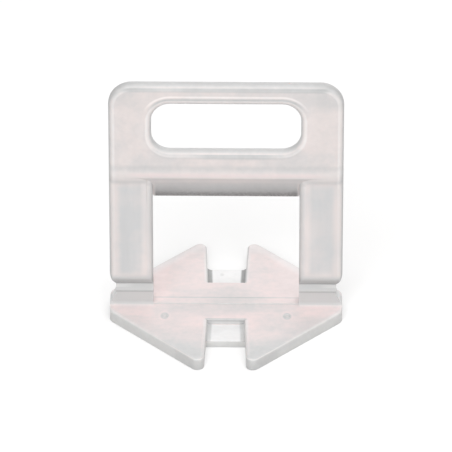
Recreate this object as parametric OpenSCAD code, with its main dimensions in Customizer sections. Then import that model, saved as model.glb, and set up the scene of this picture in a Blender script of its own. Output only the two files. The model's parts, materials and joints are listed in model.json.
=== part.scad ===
// Tile levelling clip, moulded in one piece.
// The base lies under two neighbouring tiles, the legs stand in the joint between them,
// and a wedge driven through the window presses the tiles level.
// The legs then break off at the thin necks and leave the base behind.
// Origin: middle of the underside. +Z is up, the wings point along Y, the frame is as wide as X.

/* [Overall] */
// Width of the base and of the frame
clip_w = 38; // [34:0.5:46]
// Depth of the base from point to point
base_d = 35; // [31:0.5:42]
// Height of the handle's top above the underside
clip_h = 43.7; // [42:0.1:52]

/* [Base] */
// Thickness of the wings
base_t = 2.1; // [1.7:0.1:2.6]
// Length of the straight edge at each side
side_edge = 4.4; // [4:0.1:7]
// Radius of the side corners
side_r = 2; // [0.8:0.1:2.6]
// Radius of the wings' points
tip_r = 1.1; // [0.7:0.1:1.6]
// Rounding of the wings' upper edges
wing_edge = 0.35; // [0.15:0.05:0.5]

/* [Notches] */
// Width of a notch at its inner end
notch_w = 6.1; // [5:0.1:8]
// Width of a notch at its mouth
mouth_w = 6.8; // [6:0.1:9]
// Distance from the middle of the clip to a notch's inner end
notch_start = 5.65; // [4.5:0.05:7]
// Length of the thin web that bridges a notch
web_l = 5.1; // [3.5:0.1:6.5]
// Thickness of the web
web_t = 1.15; // [0.6:0.05:1.3]
// Width of the hollow fillet between the web and a wing
web_fillet = 0.8; // [0.3:0.05:1]

/* [Frame] */
// Thickness of the frame
frame_t = 2.1; // [1.8:0.1:3]
// Width of a leg
leg_w = 7.1; // [5.5:0.1:9]
// Radius of the handle's top corners
corner_r = 3.9; // [2.5:0.1:6]
// Rounding of the frame's edges, measured across its face
edge_run = 1.1; // [0.6:0.05:1.5]
// Rounding of the frame's edges, measured into its thickness
edge_drop = 0.8; // [0.4:0.05:0.85]

/* [Handle] */
// Length of the finger slot
slot_w = 24.2; // [18:0.2:26]
// Height of the finger slot
slot_h = 8.8; // [7:0.1:11]
// Radius of the slot's corners
slot_r = 3.1; // [1.2:0.1:3.4]
// Height of the bar over the slot
top_bar = 3.7; // [3:0.1:6]

/* [Crossbar] */
// Height of the crossbar's front, from the slot down to the window
bar_h = 5.3; // [4.5:0.1:7]
// Height of the soft bead along the crossbar
bead_h = 3.5; // [2:0.1:4]
// Height of the bead's middle above the window
bead_up = 0.6; // [0.4:0.05:1.5]
// How far the bead stands out from the frame
bead_out = 0.25; // [0.1:0.05:0.5]
// Length over which the bead fades out beside the window
bead_fade = 1; // [0.4:0.1:2]
// Fall of the crossbar's underside from front to back
ramp_drop = 4.55; // [2.5:0.05:5.5]
// How far the crossbar stands out behind the frame
shoe_out = 0.95; // [0.4:0.05:1.6]
// Draft of the crossbar's ends behind the legs
shoe_draft = 0.45; // [0.2:0.05:0.8]

/* [Break necks] */
// Thickness of a leg's root
root_t = 2.2; // [1.8:0.1:3]
// Height of the root's upright side
root_h = 2.6; // [1.5:0.1:3]
// Fillet where a root meets the base
root_fillet = 0.8; // [0.3:0.05:1]
// Height of the neck above the base
neck_up = 3.55; // [3.3:0.05:4.6]
// Thickness of the neck
neck_t = 0.8; // [0.5:0.05:1.2]
// Depth of the notch in the neck's outer side
neck_cut = 1; // [0.8:0.1:2]
// Height of the leg's tapered foot above the neck
foot_h = 2.2; // [1.5:0.1:2.6]
// Height of the foot's rounded outer corner
foot_corner = 2.3; // [1.8:0.1:3.4]
// Height of the straight bottom of the notch in the outer side
notch_flat = 1.6; // [0.8:0.1:2]
// Height of the root's outer edge above the base
root_edge = 0.15; // [0.1:0.05:0.6]

/* [Fine marks] */
// Width of the low strip between the legs
strip_w = 1.9; // [1.2:0.1:2.4]
// Height of the low strip
strip_h = 0.1; // [0.05:0.05:0.4]
// Diameter of the ring marks on the front wing
ring_d = 1.3; // [0.8:0.05:1.8]
// Width of a ring's groove
ring_w = 0.3; // [0.2:0.05:0.35]
// Depth of a ring's groove
ring_cut = 0.1; // [0.05:0.01:0.15]
// Distance between the two ring marks
ring_span = 20; // [16:0.5:22]
// Distance of the ring marks from the middle of the clip
ring_y = 4.65; // [3.5:0.05:5]

/* [Hidden] */

$fn = 48;
plastic = [0.93, 0.92, 0.91, 0.85];

// Steps in a rounded edge, across the bead and round a top corner
round_steps = 6;
bead_steps = 10;
corner_steps = 10;
// How far a cut runs past a face
past = 1;
// How far one form sinks into the next where they are moulded together
sink = 0.6;
// How far a fillet's tangent end sinks into the wall that it rises to
tuck = 0.05;

half_w = clip_w / 2;
window_w = clip_w - 2 * leg_w;
neck_z = base_t + neck_up;
slot_top = clip_h - top_bar;
slot_floor = slot_top - slot_h;
bar_low = slot_floor - bar_h;
bead_mid = bar_low + bead_up;
shoe_low = bar_low - ramp_drop;
shoe_back = frame_t / 2 + shoe_out;
shoe_heel = shoe_out / 2;
inner_r = 2 * wing_edge;
tip_y = base_d / 2 - tip_r;
notch_turn = atan((mouth_w - notch_w) / 2 / (tip_y - notch_start));

// Points on an arc of an ellipse
function arc(centre, rx, ry, from, to, steps = round_steps) =
  [for (i = [0:steps]) let (a = from + (to - from) * i / steps) centre + [rx * cos(a), ry * sin(a)]];

// Points mirrored in the second axis, in reversed order
function mirrored(points) =
  [for (i = [len(points) - 1:-1:0]) [-points[i][0], points[i][1]]];

// Closed outline from its right half
function whole(half) = concat(half, mirrored(half));

// Arc that leaves an upright edge at its top and falls by a height over a run inwards
function nose(edge, top, fall, run) =
  let (r = (fall * fall + run * run) / (2 * run))
  arc([edge - r, top], r, r, -asin(fall / r), 0);

// Rounding of the frame's edge: pairs of how far in from its side and how deep in its thickness
function edge_round(from, to) =
  arc([edge_run, frame_t / 2 - edge_drop], edge_run, edge_drop, from, to);

// Points followed by their mirror images in the first axis
function doubled(points) =
  concat(points, [for (i = [len(points) - 1:-1:0]) [points[i][0], -points[i][1]]]);

// Side of a cut that leaves rounded edges on the frame's two faces, and its reach in front of them
function cut_side(reach) =
  doubled(concat([[reach, frame_t / 2 + past]], edge_round(90, 180)));

// How far the soft bead stands out of the frame at a height
function bead(z) =
  abs(z - bead_mid) < bead_h / 2 ? bead_out * (1 + cos(360 * (z - bead_mid) / bead_h)) / 2 : 0;

// Right half of the frame's outline, from the neck to the middle of the top, drawn in from its edge
function frame_side(inset) = concat(
  [[half_w - inset, neck_z]],
  [for (i = [0:bead_steps]) [half_w - inset, bead_mid + bead_h * (i / bead_steps - 0.5)]],
  arc([half_w - corner_r, clip_h - corner_r], corner_r - inset, corner_r - inset, 0, 90, corner_steps));

// Right half of the finger slot's outline, from its floor to its top, grown outwards
function slot_side(grow) = concat(
  arc([slot_w / 2 - slot_r, slot_floor + slot_r], slot_r + grow, slot_r + grow, -90, 0, corner_steps),
  arc([slot_w / 2 - slot_r, slot_top - slot_r], slot_r + grow, slot_r + grow, 0, 90, corner_steps));

// Runs a section drawn in Y and Z along X, centred
module along_x(length) {
  translate([-length / 2, 0, 0])
    rotate([90, 0, 90])
      linear_extrude(length)
        children();
}

// Runs an outline drawn in X and Z along Y, centred
module along_y(length) {
  translate([0, length / 2, 0])
    rotate([90, 0, 0])
      linear_extrude(length)
        children();
}

// Makes a form on the right side and its mirror image on the left
module both_sides() {
  children();
  mirror([1, 0, 0])
    children();
}

// Disc with a rounded upper edge, the corner of a wing
module wing_button(r) {
  rotate_extrude($fn = 32)
    polygon(concat(
      [[0, 0], [r, 0]],
      arc([r - wing_edge, base_t - wing_edge], wing_edge, wing_edge, 0, 90),
      [[0, base_t]]));
}

// Right half of the base: a side edge, and two points with the notches' walls
module wing_pair() {
  hull()
    for (s = [-1, 1]) {
      translate([half_w - side_r, s * side_edge / 2, 0])
        wing_button(side_r);
      translate([mouth_w / 2 + tip_r, s * tip_y, 0])
        wing_button(tip_r);
      translate([notch_w / 2 + inner_r, s * notch_start, 0])
        wing_button(inner_r);
    }
}

// Middle of the base between the two notches
module bridge() {
  half = concat([[notch_start, 0]],
    arc([notch_start - wing_edge, base_t - wing_edge], wing_edge, wing_edge, 0, 90));
  along_x(notch_w + 2 * inner_r)
    polygon(whole(half));
}

// Fillet along a notch's right wall, drawn from the notch's inner corner
module wall_fillet() {
  top = base_t - wing_edge;
  section = concat(
    [[tuck + sink, 0], [tuck + sink, top]],
    arc([tuck - web_fillet, top], web_fillet, top - web_t, 0, -90),
    [[tuck - web_fillet, 0]]);
  rotate(-notch_turn)
    along_y(2 * (web_l + past))
      polygon(section);
}

// Thin web across a notch, with a hollow fillet up to each wing
module web() {
  intersection() {
    translate([-mouth_w, notch_start - sink, 0])
      cube([2 * mouth_w, web_l + sink, base_t]);
    union() {
      translate([-notch_w / 2, notch_start - sink, 0])
        cube([notch_w, web_l + sink, web_t]);
      both_sides()
        translate([notch_w / 2, notch_start, 0])
          wall_fillet();
    }
  }
}

// Ring left by an ejector pin, as a shallow groove
module ring_groove() {
  outer = ring_d / 2;
  translate([0, 0, base_t])
    rotate_extrude()
      polygon([
        [outer - ring_w, 0],
        [outer - ring_w / 2, -ring_cut],
        [outer, 0],
        [outer, past],
        [outer - ring_w, past]]);
}

// Arrow-ended base plate with its notches, webs and marks
module base() {
  difference() {
    union() {
      both_sides()
        wing_pair();
      bridge();
      web();
      mirror([0, 1, 0])
        web();
    }
    both_sides()
      translate([ring_span / 2, -ring_y, 0])
        ring_groove();
  }
  translate([-window_w / 2 - sink, -strip_w / 2, base_t - sink])
    cube([window_w + 2 * sink, strip_w, strip_h + sink]);
}

// Solid between rings of points that follow each other from back to front, each alike left and right
module skin(rings) {
  count = len(rings[0]);
  last = (len(rings) - 1) * count;
  polyhedron(
    points = [for (ring = rings, p = ring) p],
    faces = concat(
      [for (k = [0:count:last - count], i = [0:count - 1])
        let (j = (i + 1) % count)
        [k + i + count, k + j + count, k + j, k + i]],
      [for (i = [0:count / 2 - 2], end = [0, last])
        let (strip = [i, i + 1, count - 2 - i, count - 1 - i])
        [for (n = end == 0 ? [0, 1, 2, 3] : [3, 2, 1, 0]) end + strip[n]]]));
}

// Plate with rounded edges, two round top corners and a soft bead across it
module frame_plate() {
  skin([for (r = doubled(edge_round(90, 180)))
    [for (p = whole(frame_side(r[0])))
      [p[0], r[1] * (1 + 2 * bead(p[1]) / frame_t), p[1]]]]);
}

// Cut for the finger slot, flared at both faces
module slot_cut() {
  skin([for (r = cut_side(edge_run))
    [for (p = whole(slot_side(r[0])))
      [p[0], r[1], p[1]]]]);
}

// Cut for the wedge window, flared along the legs and closed at the top by the crossbar's ramp
module window_cut() {
  low = neck_z - past;
  flare = cut_side(edge_run + bead_fade * past / bead_out);
  right = [for (p = flare) [window_w / 2 + p[0], p[1]]];
  front = [-frame_t / 2, bar_low];
  back = [shoe_back - shoe_heel, shoe_low];
  run = back - front;
  intersection() {
    translate([0, 0, low])
      linear_extrude(clip_h - low)
        polygon(whole(right));
    along_x(clip_w)
      polygon([front - run, back + run, [shoe_back + run[0], low - past], [front[0] - run[0], low - past]]);
  }
}

// Everything above the necks that the leg's tapered foot leaves standing
module foot_taper() {
  top = neck_z + foot_h;
  half = concat(
    nose(frame_t / 2, top, foot_h, (frame_t - neck_t) / 2),
    [[shoe_back + past, top], [shoe_back + past, clip_h + past]]);
  along_x(clip_w + 2 * past)
    polygon(whole(half));
}

// Block behind the crossbar, which the window's ramp cuts to a shoe for the wedge
module shoe_block() {
  inside = frame_t / 2 - sink;
  plan = [
    [window_w / 2 + sink, inside - past],
    [window_w / 2 + sink, inside],
    [window_w / 2 - shoe_draft, shoe_back]];
  intersection() {
    along_x(clip_w)
      polygon([
        [inside, shoe_low],
        [shoe_back - shoe_heel, shoe_low],
        [shoe_back, shoe_low + shoe_heel],
        [shoe_back, bar_low],
        [inside, bead_mid + sink]]);
    translate([0, 0, shoe_low - past])
      linear_extrude(clip_h - shoe_low)
        polygon(whole(plan));
  }
}

// Root of the right leg: upright sides with a fillet, and slopes up to the neck
module leg_root() {
  half = concat(
    [[root_t / 2 + root_fillet, base_t - sink]],
    arc([root_t / 2 + root_fillet, base_t + root_fillet], root_fillet, root_fillet, 270, 180),
    [[root_t / 2, base_t + root_h], [neck_t / 2, neck_z]]);
  translate([half_w - leg_w / 2, 0, 0])
    along_x(leg_w)
      polygon(whole(half));
}

// Notch in the outer side of the right neck, from the foot's corner to the root's outer edge
module neck_notch() {
  low = [half_w - neck_cut, neck_z - notch_flat];
  slope = [half_w, base_t + root_edge] - low;
  along_y(root_t + 2 * (root_fillet + past))
    polygon(concat(
      nose(half_w, neck_z + foot_corner, foot_corner, neck_cut),
      [[half_w + slope[0], neck_z + foot_corner], low + 2 * slope, low]));
}

// Handle, crossbar and legs
module frame() {
  intersection() {
    difference() {
      union() {
        frame_plate();
        shoe_block();
      }
      slot_cut();
      window_cut();
    }
    foot_taper();
  }
}

module clip() {
  color(plastic) {
    base();
    difference() {
      union() {
        frame();
        both_sides()
          leg_root();
      }
      both_sides()
        neck_notch();
    }
  }
}

clip();
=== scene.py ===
import bpy
import json
from math import cos, radians, sin
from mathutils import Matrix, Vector

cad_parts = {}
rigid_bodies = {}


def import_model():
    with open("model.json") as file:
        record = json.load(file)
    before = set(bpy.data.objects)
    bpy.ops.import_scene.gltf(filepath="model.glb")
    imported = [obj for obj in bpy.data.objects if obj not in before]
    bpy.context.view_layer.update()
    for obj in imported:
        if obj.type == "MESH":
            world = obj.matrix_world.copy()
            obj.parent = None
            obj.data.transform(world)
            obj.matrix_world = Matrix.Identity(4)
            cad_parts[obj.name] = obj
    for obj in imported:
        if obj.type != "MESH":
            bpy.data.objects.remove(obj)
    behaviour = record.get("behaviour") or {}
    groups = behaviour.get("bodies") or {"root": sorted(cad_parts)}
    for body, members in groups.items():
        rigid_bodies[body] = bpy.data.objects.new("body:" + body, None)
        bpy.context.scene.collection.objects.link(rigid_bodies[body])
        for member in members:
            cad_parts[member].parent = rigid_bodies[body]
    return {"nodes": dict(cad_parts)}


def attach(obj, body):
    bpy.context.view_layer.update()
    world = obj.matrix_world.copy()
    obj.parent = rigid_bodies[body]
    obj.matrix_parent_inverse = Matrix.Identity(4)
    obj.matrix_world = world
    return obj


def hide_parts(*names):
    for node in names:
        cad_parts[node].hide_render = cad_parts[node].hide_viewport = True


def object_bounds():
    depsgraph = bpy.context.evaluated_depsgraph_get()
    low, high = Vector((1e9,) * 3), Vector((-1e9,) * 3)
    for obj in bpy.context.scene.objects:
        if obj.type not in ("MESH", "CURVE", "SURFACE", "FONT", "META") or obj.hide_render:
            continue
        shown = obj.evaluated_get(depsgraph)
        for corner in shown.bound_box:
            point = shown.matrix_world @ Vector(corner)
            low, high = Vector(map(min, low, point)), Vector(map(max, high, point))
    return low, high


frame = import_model()
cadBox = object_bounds()
print("frame loaded:", ", ".join(frame["nodes"]))


def addNode(tree, kind, **sockets):
    node = tree.nodes.new(kind)
    for name, value in sockets.items():
        node.inputs[name].default_value = value
    return node


def link(tree, fromNode, output, toNode, socket):
    tree.links.new(fromNode.outputs[output], toNode.inputs[socket])


def calc(tree, operation, a, b=None, clamp=False):
    node = tree.nodes.new("ShaderNodeMath")
    node.operation = operation
    node.use_clamp = clamp
    for index, value in enumerate((a, b)):
        if value is None:
            continue
        if isinstance(value, (int, float)):
            node.inputs[index].default_value = value
        else:
            tree.links.new(value, node.inputs[index])
    return node.outputs[0]


def chain(tree, operation, first, *rest):
    for other in rest:
        first = calc(tree, operation, first, other)
    return first


def multiply(tree, *values):
    return chain(tree, "MULTIPLY", *values)


def add(tree, *values):
    return chain(tree, "ADD", *values)


def inverse(tree, value):
    return calc(tree, "SUBTRACT", 1, value)


def length(tree, a, b):
    return calc(tree, "SQRT", add(tree, multiply(tree, a, a), multiply(tree, b, b)))


def apart(tree, value, middle):
    return calc(tree, "ABSOLUTE", calc(tree, "SUBTRACT", value, middle))


def ramp(tree, value, low, high, smooth=True):  # 0 at low, 1 at high
    node = tree.nodes.new("ShaderNodeMapRange")
    node.interpolation_type = "SMOOTHSTEP" if smooth else "LINEAR"
    node.inputs["From Min"].default_value = low
    node.inputs["From Max"].default_value = high
    tree.links.new(value, node.inputs["Value"])
    return node.outputs["Result"]


def between(tree, value, low, high, soft):  # 1 between low and high, with soft ends
    rise = ramp(tree, value, low - soft, low + soft)
    return multiply(tree, rise, ramp(tree, value, high + soft, high - soft))


def toneRamp(tree, value, stops):
    node = tree.nodes.new("ShaderNodeValToRGB")
    band = node.color_ramp
    band.interpolation = "LINEAR"
    while len(band.elements) < len(stops):
        band.elements.new(0.5)
    for element, (place, tone) in zip(band.elements, stops):
        element.position = place
        element.color = (tone, tone, tone, 1)
    tree.links.new(value, node.inputs["Fac"])
    return node.outputs["Color"]


def mixColour(tree, factor, a, b, blend="MIX"):
    node = tree.nodes.new("ShaderNodeMix")
    node.data_type = "RGBA"
    node.blend_type = blend
    if isinstance(factor, (int, float)):
        node.inputs["Factor"].default_value = factor
    else:
        tree.links.new(factor, node.inputs["Factor"])
    colourIn = [s for s in node.inputs if s.type == "RGBA"]
    for socket, value in zip(colourIn, (a, b)):
        if isinstance(value, tuple):
            socket.default_value = (*value, 1)
        else:
            tree.links.new(value, socket)
    return [s for s in node.outputs if s.type == "RGBA"][0]


def noise(tree, place, detail, scale=1, roughness=0.5, turn=0, stretch=(1, 1, 1), shift=(0, 0, 0)):
    turned = (0, 0, radians(turn))
    mapping = addNode(tree, "ShaderNodeMapping", Location=shift, Rotation=turned, Scale=stretch)
    link(tree, place, "Object", mapping, "Vector")
    node = addNode(tree, "ShaderNodeTexNoise", Scale=scale, Detail=detail, Roughness=roughness)
    link(tree, mapping, "Vector", node, "Vector")
    return node.outputs["Fac"]


def newMaterial(name):
    material = bpy.data.materials.new(name)
    material.use_nodes = True
    tree = material.node_tree
    tree.nodes.clear()
    return material, tree


# where the clip's features lie, in metres
halfWide, wingTip, clipTop = cadBox[1]
stripTop, stripHalf = 0.0022, 0.00095
webTop, notchEnd, webEnd = 0.00115, 0.00565, 0.01075
notchHalf, notchFlare = 0.00305, 0.0326  # half the notch's width, and how much it gains a metre
flankReach, flankTurn = 0.01574, 44.09  # the wings' slanting sides: from the origin, degrees from x
neck, shoulder = 0.00565, 0.0047
frameHalf, windowHalf, windowTop = 0.00105, 0.0119, 0.0259
shoeLow, shoeReach = 0.02135, 0.000475  # where the ceiling ends: its height, how far behind the frame
bead = 0.0265
slotFloor, slotTop, slotHalf, slotRound = 0.0312, 0.0400, 0.0121, 0.0031
ringMark = (0.0100, -0.00465, 0.7)  # x, y, and how much y counts in the distance
webSpot = (-0.0008, 0.0093, 0.75)
greyerMiddle = (0.0015, 0.0005, 1)
# the smudge under the slot is painted shade, and the paler stretch by the front notch painted light
underSlotShadeX, palerX = 0.0016, -0.0012  # smudge under the slot, paler stretch by the front notch

mottling = {  # settings of each noise
    "cloud": {"scale": 140, "detail": 4, "roughness": 0.55, "shift": (0.05, 0.02, 0)},
    "flow": {"scale": 420, "detail": 3, "roughness": 0.6},
    "grain": {"scale": 1100, "detail": 2},
    "speck": {"scale": 2600, "detail": 2},
    "strand": {"detail": 3, "roughness": 0.6, "stretch": (620, 620, 70)},
    "streak": {"detail": 4, "roughness": 0.6, "turn": -28, "stretch": (170, 480, 400)},
}


def farFrom(tree, across, along, mark):
    x, y, counts = mark
    forward = multiply(tree, calc(tree, "SUBTRACT", along, y), counts)
    return length(tree, calc(tree, "SUBTRACT", across, x), forward)


def readPlace(tree, place):  # where each point is and how it faces
    split = tree.nodes.new("ShaderNodeSeparateXYZ")
    link(tree, place, "Object", split, "Vector")
    facing = tree.nodes.new("ShaderNodeSeparateXYZ")
    link(tree, place, "Normal", facing, "Vector")
    at = {"side": split.outputs["X"], "y": split.outputs["Y"], "z": split.outputs["Z"]}
    at["x"] = calc(tree, "ABSOLUTE", at["side"])
    at["depth"] = calc(tree, "ABSOLUTE", at["y"])
    at["up"] = facing.outputs["Z"]
    at["level"] = calc(tree, "ABSOLUTE", facing.outputs["Z"])
    at["out"] = calc(tree, "ABSOLUTE", facing.outputs["X"])
    at["forward"] = calc(tree, "ABSOLUTE", facing.outputs["Y"])
    return at


def readSlot(tree, at):  # how far outside the finger slot, and whether that is beside it or above
    middle = (slotFloor + slotTop) / 2
    straight = (slotTop - slotFloor) / 2 - slotRound
    across = calc(tree, "MAXIMUM", calc(tree, "SUBTRACT", at["x"], slotHalf - slotRound), 0)
    rise = calc(tree, "MAXIMUM", calc(tree, "SUBTRACT", apart(tree, at["z"], middle), straight), 0)
    reach = length(tree, across, rise)
    at["slotGap"] = calc(tree, "SUBTRACT", reach, slotRound)
    at["slotTurn"] = calc(tree, "DIVIDE", rise, calc(tree, "MAXIMUM", reach, 1e-6))
    at["slotUpper"] = calc(tree, "GREATER_THAN", at["z"], middle)
    at["slotLower"] = inverse(tree, at["slotUpper"])


def readFeatures(tree, at):  # how far each point is from the features
    readSlot(tree, at)
    across = multiply(tree, at["x"], cos(radians(flankTurn)))
    along = multiply(tree, at["depth"], sin(radians(flankTurn)))
    at["flank"] = calc(tree, "SUBTRACT", flankReach, add(tree, across, along))
    flare = multiply(tree, calc(tree, "SUBTRACT", at["depth"], notchEnd), notchFlare)
    at["fromWall"] = calc(tree, "SUBTRACT", at["x"], add(tree, flare, notchHalf))
    run = Vector((frameHalf * 2 + shoeReach, shoeLow - windowTop)).normalized()
    behind = multiply(tree, add(tree, at["y"], frameHalf), run.y)
    above = multiply(tree, calc(tree, "SUBTRACT", at["z"], windowTop), -run.x)
    at["fromCeiling"] = calc(tree, "ABSOLUTE", add(tree, behind, above))
    at["fromRing"] = farFrom(tree, at["x"], at["y"], ringMark)
    at["fromSpot"] = farFrom(tree, at["side"], at["y"], webSpot)
    at["fromMilky"] = farFrom(tree, at["side"], at["y"], greyerMiddle)
    at["fromSmudge"] = apart(tree, at["side"], underSlotShadeX)
    at["fromPaler"] = apart(tree, at["side"], palerX)


def readPart(tree, at, part):
    name, *span = (part,) if isinstance(part, str) else part
    if len(span) == 1:
        return calc(tree, "SUBTRACT", at[name], *span)
    if len(span) == 2:
        return ramp(tree, at[name], *span)
    if len(span) == 3:
        return between(tree, at[name], *span)
    return at[name]


def readZone(tree, at, parts):
    return multiply(tree, *[readPart(tree, at, part) for part in parts])


# A zone is a product of parts. A part is a reading or an earlier zone by its name, or a reading with
# a middle to take off it, or with the places where it gives 0 and 1, or with a low end, a high end
# and how soft both are. A shade starts with what it takes off the tone, and a minus sign adds to it.
# Most shades are painted shade, and those with a minus sign painted light, as each block below says.
wholeClip = {
    "zones": {
        "onFrame": [("z", stripTop + 0.00005, stripTop + 0.00015)],
        "onBase": [("z", stripTop + 0.00015, stripTop + 0.00005)],
        "upward": [("up", 0.10, 0.45)],
        "front": [("y", 0.001, -0.001)],
        "back": [("y", -0.001, 0.001)],
        "patches": [("cloud", 0.40, 0.66)],
        "topFace": [("up", 0.6, 0.9), "onBase", ("z", stripTop - 0.0006, stripTop - 0.0003)],
        "frontFace": ["topFace", "front"],
        "backFace": ["topFace", "back"],
    },
    "shades": {},
}

handle = {
    "zones": {
        "handle": [("z", windowTop - 0.0024, windowTop + 0.0001)],
        "aboveBar": [("z", bead - 0.0005, bead + 0.0015)],
        "top": [("z", slotTop, slotTop + 0.0010)],
        "topEdge": [("x", halfWide - 0.0015, halfWide - 0.0040)],
        "topBand": [("z", clipTop - 0.00112, clipTop - 0.0005, 0.0003), "topEdge"],
        "roundTop": ["upward", "onFrame"],
        "aboveSlot": [("slotTurn", 0.35, 0.95), "slotUpper"],
        "belowSlot": [("slotTurn", 0.35, 0.95), "slotLower"],
        "besideSlot": [("slotTurn", 0.75, 0.05)],
        # painted shade under the slot, between its rim and the bead
        "smudge": [("slotGap", 0.0016, 0.0008), ("slotGap", 0.0004, 0.00055), "belowSlot"],
    },
    # painted shade on the top's rounding, the band under its edge and its corners, above the slot and
    # under it, and painted light along the top, on the slot's lip and rim, above it and beside it; flow
    # and grain are the plastic's mottling
    "shades": {
        "topRound": (0.09, "top", "upward"),
        "topGlint": (-0.03, "top", ("up", 0.45, 0.75, 0.1)),
        "topBand": (0.13, "topBand"),
        "topShadeMottle": (0.10, "topBand", ("cloud", 0.25, 0.55)),
        "topLine": (-0.06, ("z", clipTop - 0.0005, clipTop - 0.0004, 0.0001), "topEdge"),
        "topCorners": (0.06, ("x", halfWide - 0.0055, halfWide - 0.0035), ("z", 0.0385, 0.0405)),
        "slotBand": (0.19, ("slotGap", 0.0009, 0.00125, 0.00015), "aboveSlot"),
        "slotRim": (-0.08, ("slotGap", 0.0007, 0.0005), "top", "aboveSlot"),
        "slotLip": (-0.18, ("slotGap", 0.0004, 0.00015), "aboveSlot"),
        "slotLine": (-0.26, ("slotGap", 0.00145, 0.00175, 0.00015), "aboveSlot"),
        "slotEnds": (-0.02, ("slotGap", 0.0005, 0.0010, 0.00015), "besideSlot"),
        "slotGlow": (-0.03, ("slotGap", 0.0034, 0.0010), "besideSlot"),
        # painted shade under the slot, darkest in its middle
        "smudge": (0.07, "smudge"),
        "smudgeMiddle": (0.15, "smudge", ("fromSmudge", 0.0085, 0.0045)),
        "flow": (0.10, ("flow", 0.5), "aboveBar"),
        "grain": (0.10, ("grain", 0.5), "aboveBar"),
    },
}

crossbar = {
    "zones": {
        "bead": [
            ("z", bead - 0.0017, bead + 0.0018, 0.0002),
            ("x", halfWide - 0.0007, halfWide - 0.0012),
        ],
        # pinker tint painted as light on the bead's upper flank
        "beadLitFlank": [
            ("z", bead + 0.0001, bead + 0.0008, 0.0004),
            ("x", halfWide - 0.0015, halfWide - 0.0060),
        ],
        "ceiling": [
            ("fromCeiling", 0.0003, 0.00015),
            ("z", shoeLow - 0.0006, shoeLow - 0.0002),
            ("z", windowTop - 0.0001, windowTop - 0.0013),
            ("x", windowHalf - 0.0001, windowHalf - 0.0006),
        ],
        "ceilingBack": ["ceiling", ("z", shoeLow + 0.0023, shoeLow + 0.0001)],
    },
    # painted shade on the ceiling under the crossbar, darker down its fall, along its edge and ends and
    # in specks at its back, and on the bead, the valley above it and the legs' tops
    "shades": {
        "ceiling": (0.10, "ceiling"),
        "ceilingFall": (0.38, "ceiling", ("z", windowTop - 0.0003, shoeLow - 0.00055)),
        "ceilingEdge": (0.16, "ceiling", ("z", shoeLow + 0.0017, shoeLow + 0.0006)),
        "ceilingShadeSpecks": (0.5, "ceilingBack", ("speck", 0.5)),
        "ceilingEnds": (0.04, "ceilingBack", ("x", windowHalf - 0.0024, windowHalf - 0.0001)),
        "bead": (0.03, ("z", bead - 0.0006, bead + 0.0011, 0.0004)),
        "valley": (0.08, ("z", bead + 0.0011, bead + 0.0021, 0.0004)),
        "legTops": (0.09, ("z", windowTop - 0.0006, windowTop, 0.0003),
                    ("x", windowHalf + 0.0005, windowHalf + 0.0013)),
    },
}

legs = {
    "zones": {
        "outside": [("x", windowHalf - 0.0002, windowHalf)],
        "leg": [("z", neck + 0.00135, neck + 0.00235), ("z", windowTop + 0.0001, windowTop - 0.0009)],
        "panel": [("x", 0.01365, 0.01745, 0.0006), ("z", 0.0080, 0.0248, 0.0010)],
        "panelOut": [("x", 0.0140, 0.0172)],
        "underNeck": [("z", neck + 0.0002, neck)],
        "root": [("z", stripTop, stripTop + 0.0007), "underNeck"],
        "nearRoot": [("z", stripTop - 0.0001, stripTop), "underNeck"],
        "rootFillet": [
            ("z", stripTop + 0.0009, stripTop + 0.0005),
            ("z", stripTop - 0.0001, stripTop + 0.00025),
            ("depth", 0.0022, 0.0018),
            "outside",
        ],
    },
    # strands are the plastic's mottling; the rest is painted shade on the legs' inner edges, feet, neck
    # crease and roots, and painted light on a line by the inner edge, at the neck and on the roots' outer
    # facets
    "shades": {
        "strands": (0.12, ("strand", 0.5), "leg"),
        "innerEdge": (0.09, "leg", ("x", windowHalf + 0.0002, windowHalf + 0.0008, 0.0003)),
        "innerLine": (-0.04, "leg", ("x", windowHalf + 0.0011, windowHalf + 0.0019, 0.0003)),
        "foot": (0.05, ("z", neck + 0.00135, neck + 0.00295, 0.0007), ("x", 0.0152, 0.0128)),
        "crease": (0.34, ("z", neck + 0.0023, neck + 0.0006), ("z", neck - 0.00005, neck + 0.00003)),
        "neckGlint": (-0.13, ("z", neck - 0.0005, neck - 0.0001, 0.0001), ("x", 0.0145, 0.0172)),
        "rootFacet": (-0.30, ("z", stripTop, 0.0050, 0.0002), ("x", 0.0176, 0.0179), ("out", 0.3, 0.6)),
        "rootLine": (0.20, ("z", shoulder - 0.0003, shoulder, 0.0001), "outside"),
        "rootSlope": (0.10, ("z", shoulder - 0.0002, shoulder), "underNeck", "upward"),
        "rootFillet": (0.06, "rootFillet"),
        "rootFoot": (0.11, "rootFillet", "upward"),
    },
}

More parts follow.
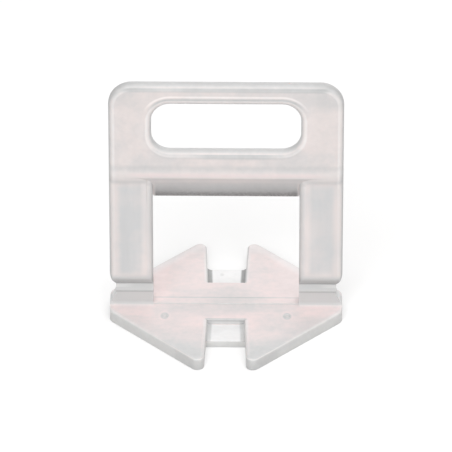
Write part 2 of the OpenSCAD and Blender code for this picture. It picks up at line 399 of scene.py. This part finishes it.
notches = {
    "zones": {
        "web": [
            ("x", 0.0032, 0.0029),
            ("z", webTop + 0.00045, webTop + 0.00015),
            ("depth", notchEnd + 0.0001, webEnd + 0.0001, 0.0001),
        ],
        "innerEnd": [
            ("depth", notchEnd - 0.00065, notchEnd + 0.00035, 0.0001),
            ("x", 0.0036, 0.0032),
            "onBase",
        ],
        "webFillet": [
            ("fromWall", -0.00095, -0.0006),
            ("fromWall", 0.0002, 0.0001),
            ("depth", notchEnd, webEnd, 0.0001),
            ("z", webTop - 0.0001, webTop - 0.00002),
            ("z", stripTop - 0.00025, stripTop - 0.0004),
        ],
        "filletFoot": ["webFillet", ("z", webTop + 0.0005, webTop + 0.0001)],
    },
    # painted shade on the notches' fillets, darkest at their foot and in the back notch, and on their
    # inner wall and edge; webSpot is a darker spot on the back web
    "shades": {
        "fillet": (0.08, "webFillet"),
        "filletFoot": (0.17, "filletFoot"),
        "filletFootBack": (0.31, "filletFoot", ("y", -0.002, 0.002)),
        "innerWall": (0.16, ("x", 0.0034, 0.0030), ("z", webTop + 0.00003, stripTop - 0.0003, 0.00006),
                      ("depth", notchEnd - 0.00015, notchEnd + 0.0001, 0.0001)),
        "innerEdge": (0.24, ("x", 0.0036, 0.0031), ("z", stripTop - 0.0006, stripTop - 0.0004),
                      ("y", -notchEnd - 0.0001, -notchEnd + 0.0003, 0.00008)),
        "webSpot": (0.14, ("fromSpot", 0.0005, 0.0001)),
    },
}

base = {
    "zones": {
        "strip": [
            ("x", windowHalf + 0.0004, windowHalf),
            ("z", stripTop - 0.0002, stripTop + 0.0001, 0.00005),
        ],
        "flankEdge": ["topFace", ("flank", 0.0010, 0.0002)],
        "notchEdge": ["topFace", ("fromWall", 0.0010, 0.0002), ("depth", 0.0050, 0.0060)],
        "backTips": ["topFace", ("y", wingTip - 0.0050, wingTip - 0.0020)],
        "backRim": ["topFace", ("flank", 0.0024, 0.0004), ("y", 0.002, 0.004)],
    },
    # painted shade along the strip's edges, over the front and back faces, on the front tips and flank,
    # before the strip and along the back edge; painted light beside the front notch, before the roots,
    # behind the legs and along the back flank and notch edges; greyerMiddle is darker towards the middle;
    # streaks and grain are the plastic's mottling
    "shades": {
        "stripBack": (0.13, "strip", ("y", stripHalf - 0.00035, stripHalf + 0.00015, 0.00008)),
        "stripFront": (0.06, "strip", ("y", -stripHalf - 0.0002, -stripHalf + 0.00005, 0.00006)),
        "greyerMiddle": (0.07, "topFace", ("fromMilky", 0.0062, 0.0020)),
        "frontFace": (0.045, "frontFace"),
        "frontFall": (0.05, "topFace", ("y", -0.003, -0.015)),
        "frontTips": (0.085, "topFace", ("y", 0.0070 - wingTip, 0.0025 - wingTip)),
        "frontFlank": (0.04, "frontFace", ("flank", 0.0035, 0.0012)),
        "tipSides": (0.09, "onBase", ("y", 0.0045 - wingTip, 0.0025 - wingTip), ("up", 0.55, 0.25)),
        "besideNotch": (-0.045, "frontFace", ("y", -0.0085, -0.0040, 0.0015),
                        ("fromPaler", 0.0075, 0.0045)),
        "beforeStrip": (0.045, "topFace", ("y", -0.0034, -0.0010, 0.0005), ("x", 0.0034, 0.0098, 0.0012)),
        "beforeRoots": (-0.042, "topFace", ("y", -0.0046, -0.0017, 0.0005), ("x", 0.0112, 0.0128)),
        "backFace": (0.04, "backFace"),
        "behindRightLeg": (-0.11, "backFace", ("side", 0.0060, 0.0118)),
        "behindLeftLeg": (-0.11, "backFace", ("side", -0.0085, -0.0118)),
        "backEdge": (0.13, "onBase", "back", ("up", 0.5, 0.955, 0.03), ("z", 0.0012, 0.0015)),
        "backLine": (-0.05, "backFace", ("flank", 0.0005, 0.0017, 0.0004)),
        "notchLine": (-0.03, "topFace", ("fromWall", 0.0003, 0.0006, 0.0001), ("depth", 0.0055, 0.0060)),
        "streaks": (0.14, ("streak", 0.5), "onBase"),
        "grain": (0.11, ("grain", 0.5), "onBase"),
    },
}

rings = {
    "zones": {
        "ring": [("fromRing", 0.0013, 0.0011), ("z", stripTop - 0.0006, stripTop - 0.0004), "onBase"],
    },
    # painted shade in the ring mark's groove, and painted light in its middle and round its rim
    "shades": {
        "groove": (0.12, "ring", ("fromRing", 0.00074, 0.00058)),
        "middle": (-0.06, "ring", ("fromRing", 0.00024, 0.00012)),
        "rimShading": (-0.03, "ring", ("fromRing", 0.00076, 0.00105, 0.0001)),
    },
}

# milky polypropylene: pinkish, with painted light where light comes through and painted shade that makes
# it greyer at the rims and where it is thick
milkyPlastic = {
    "pale": (0.83, 0.768, 0.753),
    "blush": (0.875, 0.747, 0.738),  # the wings
    "grey": (0.69, 0.69, 0.695),
    # painted light: the webs paler where light comes through them
    "thin": (0.87, 0.865, 0.865),  # the webs
    # painted shade on the rims of the frame and of the base
    "frameRimShade": (0.62, 0.62, 0.62),
    "baseRimShade": (0.76, 0.755, 0.745),
    # painted shade: the leg roots greyer and darker than the rest
    "root": (0.615, 0.612, 0.61),
    # painted highlight colour of the ridges
    "glint": (0.92, 0.88, 0.87),
    "roughness": 0.36, "roughSwing": 0.08, "roughFlow": (0.2, 0.8),
    "subsurface": 0.25, "depth": 0.0012, "scatter": (1.0, 0.9, 0.85),
    "ior": 1.49,
    "bump": 0.25, "bumpDepth": 0.00006, "flowRise": 0.5, "panelRise": -0.8,
    "patches": 0.28, "framePatches": 0.22,  # share of grey, the second on top of the first
    "panelGrey": 0.52, "panelOutGrey": 0.28,
    # share of the pinker painted light on the bead's upper flank
    "beadLitShare": 0.8,
    "shadeGrey": 5, "edgeGrey": 0.6,  # how fast a shade or an edge of the wings loses its pink
    # how much of the rim's painted shade a face takes as it turns from a side (0) to flat (1)
    "rimShading": [(0.0, 1.0), (0.45, 1.0), (0.70, 0.72), (0.84, 0.15), (0.92, 0.0)],
    # painted highlight: a bright line where a flat face starts to turn, and its strength on the base, the
    # frame and the handle
    "ridgeHighlight": [(0.80, 0.0), (0.90, 0.5), (0.96, 0.85), (0.985, 1.0), (0.997, 0.5), (1.0, 0.0)],
    "baseRidgeHighlight": 0.16, "frameRidgeHighlight": 0.20, "handleRidgeHighlight": 0.42, "noInnerRidgeHighlight": 0.7,
}


# painted shade on the rims and painted highlight on the ridges, by how each face turns
def paintedRimAndRidge(tree, at, p):
    flatFrame = multiply(tree, at["forward"], at["onFrame"])
    flat = add(tree, flatFrame, multiply(tree, at["level"], at["onBase"]))
    noRing = inverse(tree, at["ring"])
    rimShading = multiply(tree, toneRamp(tree, flat, p["rimShading"]), noRing)
    strength = add(tree, multiply(tree, at["handle"], p["handleRidgeHighlight"]),
                   multiply(tree, at["onFrame"], p["frameRidgeHighlight"]), p["baseRidgeHighlight"])
    innerEnd = multiply(tree, at["innerEnd"], p["noInnerRidgeHighlight"])
    plain = [inverse(tree, zone) for zone in (at["bead"], at["nearRoot"], innerEnd, at["roundTop"])]
    ridgeHighlight = multiply(tree, toneRamp(tree, flat, p["ridgeHighlight"]), noRing, *plain, strength)
    return rimShading, ridgeHighlight


# the colours before the shades: painted shade on the rims and roots, painted highlights on the ridges,
# painted light on the webs
def paintBody(tree, at, p):  # the colours before the shades
    rimShading, ridgeHighlight = paintedRimAndRidge(tree, at, p)
    outer = multiply(tree, at["panelOut"], p["panelOutGrey"])
    panelGrey = multiply(tree, at["panel"], add(tree, outer, p["panelGrey"]))
    framePatches = multiply(tree, at["onFrame"], p["framePatches"])
    patches = multiply(tree, at["patches"], add(tree, framePatches, p["patches"]))
    body = mixColour(tree, at["onFrame"], p["blush"], p["pale"])
    body = mixColour(tree, calc(tree, "ADD", patches, panelGrey, clamp=True), body, p["grey"])
    body = mixColour(tree, multiply(tree, at["beadLitFlank"], p["beadLitShare"]), body, p["blush"])
    body = mixColour(tree, at["root"], body, p["root"])
    body = mixColour(tree, at["web"], body, p["thin"])
    body = mixColour(tree, ridgeHighlight, body, p["glint"])
    return mixColour(tree, rimShading, body, mixColour(tree, at["onFrame"], p["baseRimShade"], p["frameRimShade"]))


# darkens and greys the colour by the shades, the painted shade and painted light
def shadeBody(tree, at, body, paintedShade, p):
    plain = tree.nodes.new("ShaderNodeRGBToBW")
    tree.links.new(body, plain.inputs["Color"])
    edges = [at[name] for name in ("flankEdge", "notchEdge", "backTips", "backRim")]
    wingEdge = multiply(tree, chain(tree, "MAXIMUM", *edges), p["edgeGrey"])
    neutral = calc(tree, "MAXIMUM", multiply(tree, paintedShade, p["shadeGrey"]), wingEdge)
    body = mixColour(tree, calc(tree, "MINIMUM", neutral, 1), body, plain.outputs["Val"])
    return mixColour(tree, 1.0, body, inverse(tree, paintedShade), "MULTIPLY")


def makeMilkyPlastic(p):
    material, tree = newMaterial("milkyPlastic")
    place = tree.nodes.new("ShaderNodeTexCoord")
    at = readPlace(tree, place)
    readFeatures(tree, at)
    for name, settings in mottling.items():
        at[name] = noise(tree, place, **settings)
    shades = []
    for feature in (wholeClip, handle, crossbar, legs, notches, base, rings):
        for name, parts in feature["zones"].items():
            at[name] = readZone(tree, at, parts)
        for amount, *parts in feature["shades"].values():
            shades.append(multiply(tree, readZone(tree, at, parts), amount))
    body = shadeBody(tree, at, paintBody(tree, at, p), add(tree, *shades), p)

    bump = addNode(tree, "ShaderNodeBump", Strength=p["bump"], Distance=p["bumpDepth"])
    flow = multiply(tree, at["flow"], p["flowRise"])
    panel = multiply(tree, at["panel"], p["panelRise"])
    tree.links.new(add(tree, flow, panel), bump.inputs["Height"])
    shader = addNode(tree, "ShaderNodeBsdfPrincipled", IOR=p["ior"])
    shader.inputs["Subsurface Weight"].default_value = p["subsurface"]
    shader.inputs["Subsurface Radius"].default_value = p["scatter"]
    shader.inputs["Subsurface Scale"].default_value = p["depth"]
    rough = multiply(tree, ramp(tree, at["flow"], *p["roughFlow"], smooth=False), p["roughSwing"])
    tree.links.new(add(tree, rough, p["roughness"]), shader.inputs["Roughness"])
    tree.links.new(body, shader.inputs["Base Color"])
    link(tree, bump, "Normal", shader, "Normal")
    out = tree.nodes.new("ShaderNodeOutputMaterial")
    link(tree, shader, "BSDF", out, "Surface")
    print("milky plastic:", len(shades), "shades")
    return material


clipBody = {
    "mergeWithin": 2e-6,
    "flatWithin": 0.4,  # degrees
    "edge": 0.00012,  # small round on the edges that the mould leaves sharp
    "edgeSteps": 2,
    "edgeAngle": 32,
    "smoothAngle": 34,
}


def makeClipBody(p):
    bpy.ops.object.select_all(action="DESELECT")
    source = frame["nodes"]["clip"]
    body = bpy.data.objects.new("clipBody", source.data.copy())
    bpy.context.scene.collection.objects.link(body)
    body.select_set(True)
    bpy.context.view_layer.objects.active = body
    bpy.ops.object.mode_set(mode="EDIT")
    bpy.ops.mesh.select_all(action="SELECT")
    bpy.ops.mesh.remove_doubles(threshold=p["mergeWithin"])
    bpy.ops.mesh.dissolve_limited(angle_limit=radians(p["flatWithin"]))
    bpy.ops.object.mode_set(mode="OBJECT")
    bevel = body.modifiers.new("edges", "BEVEL")
    bevel.width = p["edge"]
    bevel.segments = p["edgeSteps"]
    bevel.limit_method = "ANGLE"
    bevel.angle_limit = radians(p["edgeAngle"])
    bevel.use_clamp_overlap = True
    bpy.ops.object.modifier_apply(modifier="edges")
    bpy.ops.object.shade_smooth_by_angle(angle=radians(p["smoothAngle"]))
    weighted = body.modifiers.new("flats", "WEIGHTED_NORMAL")
    weighted.keep_sharp = True
    bpy.ops.object.modifier_apply(modifier="flats")
    body.data.materials.clear()
    body.data.materials.append(makeMilkyPlastic(milkyPlastic))
    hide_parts("clip")
    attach(body, "root")
    print("clip body:", len(body.data.polygons), "faces")


makeClipBody(clipBody)


floor = {
    "size": 6.0,
    "seen": 0.82,  # colour for the camera
    "grain": {"scale": 60, "detail": 3},
    "grainSpan": (0.3, 0.7), "grainTone": 0.985,
    "glow": 0.20,  # lifts the seen floor to white, the shadow stays
    "bounce": 0.42,  # colour for the light it throws back
}


def makeFloor(p):
    bpy.ops.object.select_all(action="DESELECT")
    bpy.ops.mesh.primitive_plane_add(size=p["size"], location=(0, 0, 0))
    plane = bpy.context.object
    plane.name = "floor"
    material, tree = newMaterial("paleFloor")
    path = tree.nodes.new("ShaderNodeLightPath")
    mirrored = add(tree, path.outputs["Is Glossy Ray"], path.outputs["Is Transmission Ray"])
    seen = calc(tree, "ADD", path.outputs["Is Camera Ray"], mirrored, clamp=True)
    place = tree.nodes.new("ShaderNodeTexCoord")
    grain = ramp(tree, noise(tree, place, **p["grain"]), *p["grainSpan"])
    tone = mixColour(tree, grain, (p["seen"],) * 3, (p["seen"] * p["grainTone"],) * 3)
    pale = addNode(tree, "ShaderNodeBsdfDiffuse")
    tree.links.new(tone, pale.inputs["Color"])
    glow = addNode(tree, "ShaderNodeEmission", Strength=p["glow"])
    both = tree.nodes.new("ShaderNodeAddShader")
    tree.links.new(pale.outputs[0], both.inputs[0])
    tree.links.new(glow.outputs[0], both.inputs[1])
    dull = addNode(tree, "ShaderNodeBsdfDiffuse", Color=(p["bounce"],) * 3 + (1,))
    mix = tree.nodes.new("ShaderNodeMixShader")
    tree.links.new(seen, mix.inputs[0])
    tree.links.new(dull.outputs[0], mix.inputs[1])
    tree.links.new(both.outputs[0], mix.inputs[2])
    out = tree.nodes.new("ShaderNodeOutputMaterial")
    link(tree, mix, "Shader", out, "Surface")
    plane.data.materials.append(material)
    print("floor laid")


makeFloor(floor)


studio = {
    "world": 0.45,
    "worldColour": (1, 0.995, 0.99, 1),
    "middle": (0, 0, 0.02),  # where the lamps point
    "lamps": [  # name, direction to the lamp, distance, size, watts
        ("key", (-0.35, -1.0, 0.9), 0.9, 0.7, 3.6),
        ("fill", (0.6, -1.0, 0.55), 0.9, 0.7, 2.05),
        ("top", (0.1, 0.1, 1.0), 0.9, 0.7, 2.4),
        ("behind", (0.2, 1.0, 0.27), 0.9, 0.7, 1.5),
    ],
}


def makeStudio(p):
    middle = Vector(p["middle"])
    for name, direction, distance, size, watts in p["lamps"]:
        lamp = bpy.data.lights.new(name, "AREA")
        lamp.shape = "DISK"
        lamp.size = size
        lamp.energy = watts
        holder = bpy.data.objects.new(name, lamp)
        bpy.context.scene.collection.objects.link(holder)
        holder.location = middle + Vector(direction).normalized() * distance
        holder.rotation_euler = (middle - holder.location).to_track_quat("-Z", "Y").to_euler()
    world = bpy.data.worlds.new("softRoom")
    bpy.context.scene.world = world
    world.use_nodes = True
    back = world.node_tree.nodes["Background"]
    back.inputs["Color"].default_value = p["worldColour"]
    back.inputs["Strength"].default_value = p["world"]
    print("studio lit:", len(p["lamps"]), "lamps")


makeStudio(studio)


viewpoint = {
    "turn": 0.63,  # degrees round the clip
    "rise": 32.3,  # degrees above the floor
    "away": 1.085,
    "aim": (0.0, -0.00238, 0.01806),
    "pictureWidth": 452,  # pixels
    "pixelsPerMetre": 6161,
    "sensor": 36,  # millimetres
    "farthest": 20,
}


def makeCamera(p):
    turn, rise = radians(p["turn"]), radians(p["rise"])
    back = Vector((sin(turn) * cos(rise), -cos(turn) * cos(rise), sin(rise)))
    lens = bpy.data.cameras.new("camera")
    lens.sensor_width = p["sensor"]
    lens.lens = p["pixelsPerMetre"] * p["away"] * p["sensor"] / p["pictureWidth"]
    lens.clip_end = p["farthest"]
    camera = bpy.data.objects.new("camera", lens)
    bpy.context.scene.collection.objects.link(camera)
    camera.location = Vector(p["aim"]) + back * p["away"]
    camera.rotation_euler = (-back).to_track_quat("-Z", "Y").to_euler()
    bpy.context.scene.camera = camera
    print("camera set, lens", round(lens.lens))


makeCamera(viewpoint)

bpy.context.scene.view_settings.view_transform = "Standard"
